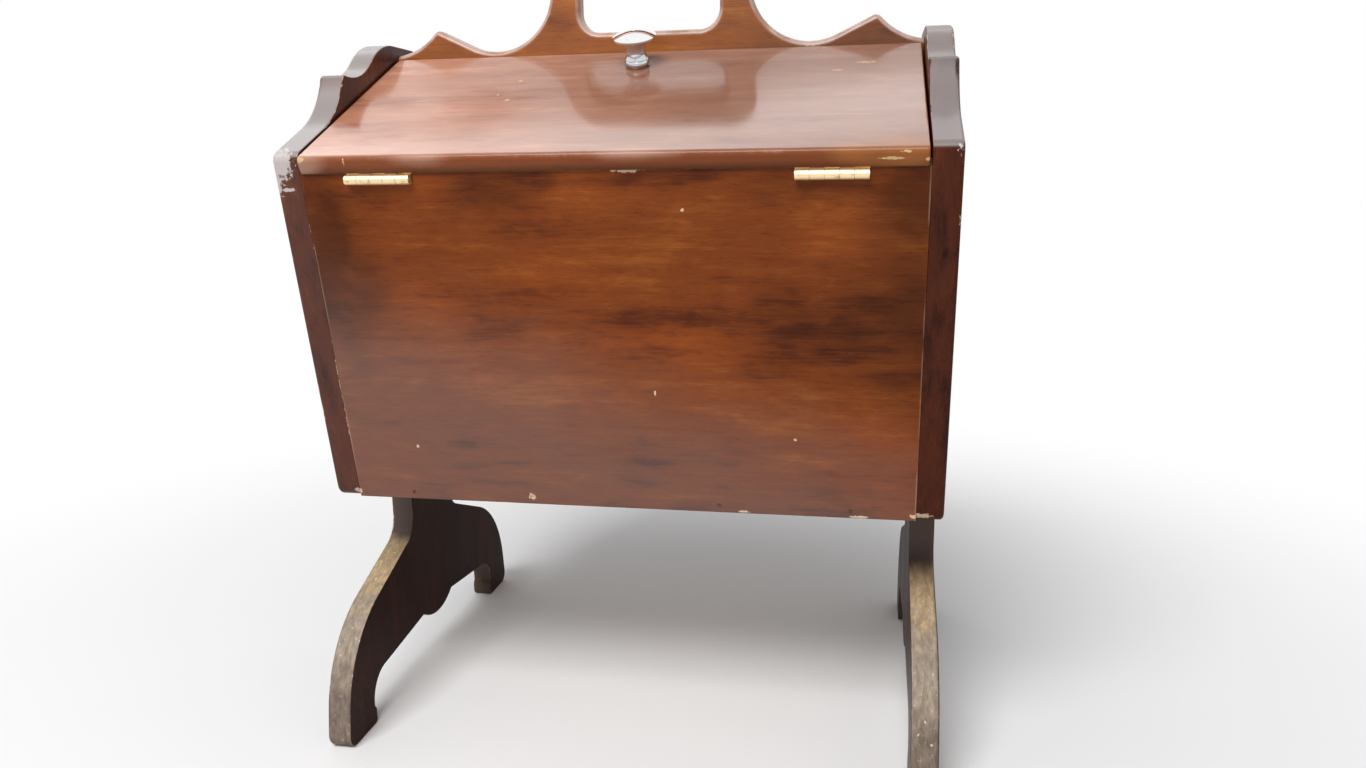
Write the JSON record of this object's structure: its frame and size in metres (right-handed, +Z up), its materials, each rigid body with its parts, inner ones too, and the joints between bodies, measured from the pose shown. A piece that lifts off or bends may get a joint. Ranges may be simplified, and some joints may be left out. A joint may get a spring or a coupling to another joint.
{
  "type": "sewing stand",
  "caption": "Wooden sewing stand: a box with sloping sides and two hinged roof lids between scroll-cut end boards with feet, and a carrying handle along the ridge.",
  "frame": {"origin": "on the floor, under the middle of the stand", "axes": "+Z up, +X to the right seen from the front, front at -Y"},
  "size_m": [0.3758, 0.2952, 0.505],
  "materials": {
    "mahogany_stain": "red-brown stain under gloss varnish, worn at the edges",
    "unfinished_wood": "planed, no finish",
    "hinge_brass": "dulled",
    "knob_chrome": "polished plating",
    "plain_steel": "plain"
  },
  "bodies": {
    "cabinet": {"left_end_board": "mahogany_stain", "right_end_board": "mahogany_stain", "front_panel": "mahogany_stain", "back_panel": "mahogany_stain", "handle_board": "mahogany_stain", "bottom_board": "unfinished_wood", "front_lid_rest": "unfinished_wood", "back_lid_rest": "unfinished_wood", "front_left_hinge_box_leaf": "hinge_brass", "front_left_hinge_pin": "hinge_brass", "front_right_hinge_box_leaf": "hinge_brass", "front_right_hinge_pin": "hinge_brass", "front_box_hinge_screws": "hinge_brass", "back_left_hinge_box_leaf": "hinge_brass", "back_left_hinge_pin": "hinge_brass", "back_right_hinge_box_leaf": "hinge_brass", "back_right_hinge_pin": "hinge_brass", "back_box_hinge_screws": "hinge_brass", "end_board_brads": "plain_steel", "panel_brads": "plain_steel"},
    "front_lid": {"front_lid": "mahogany_stain", "front_left_hinge_lid_leaf": "hinge_brass", "front_right_hinge_lid_leaf": "hinge_brass", "front_lid_hinge_screws": "hinge_brass", "front_knob_stem": "knob_chrome", "front_knob_cap": "knob_chrome", "front_knob_bolt": "plain_steel"},
    "back_lid": {"back_lid": "mahogany_stain", "back_left_hinge_lid_leaf": "hinge_brass", "back_right_hinge_lid_leaf": "hinge_brass", "back_lid_hinge_screws": "hinge_brass", "back_knob_stem": "knob_chrome", "back_knob_cap": "knob_chrome", "back_knob_bolt": "plain_steel"}
  },
  "joints": [
    {"name": "front_lid_hinge", "type": "hinge", "parent": "cabinet", "child": "front_lid", "pos_m": [0, -0.14473, 0.35315], "axis": [1, 0, 0], "range_deg": [0, 180]},
    {"name": "back_lid_hinge", "type": "hinge", "parent": "cabinet", "child": "back_lid", "pos_m": [0, 0.14473, 0.35315], "axis": [-1, 0, 0], "range_deg": [0, 180]}
  ]
}
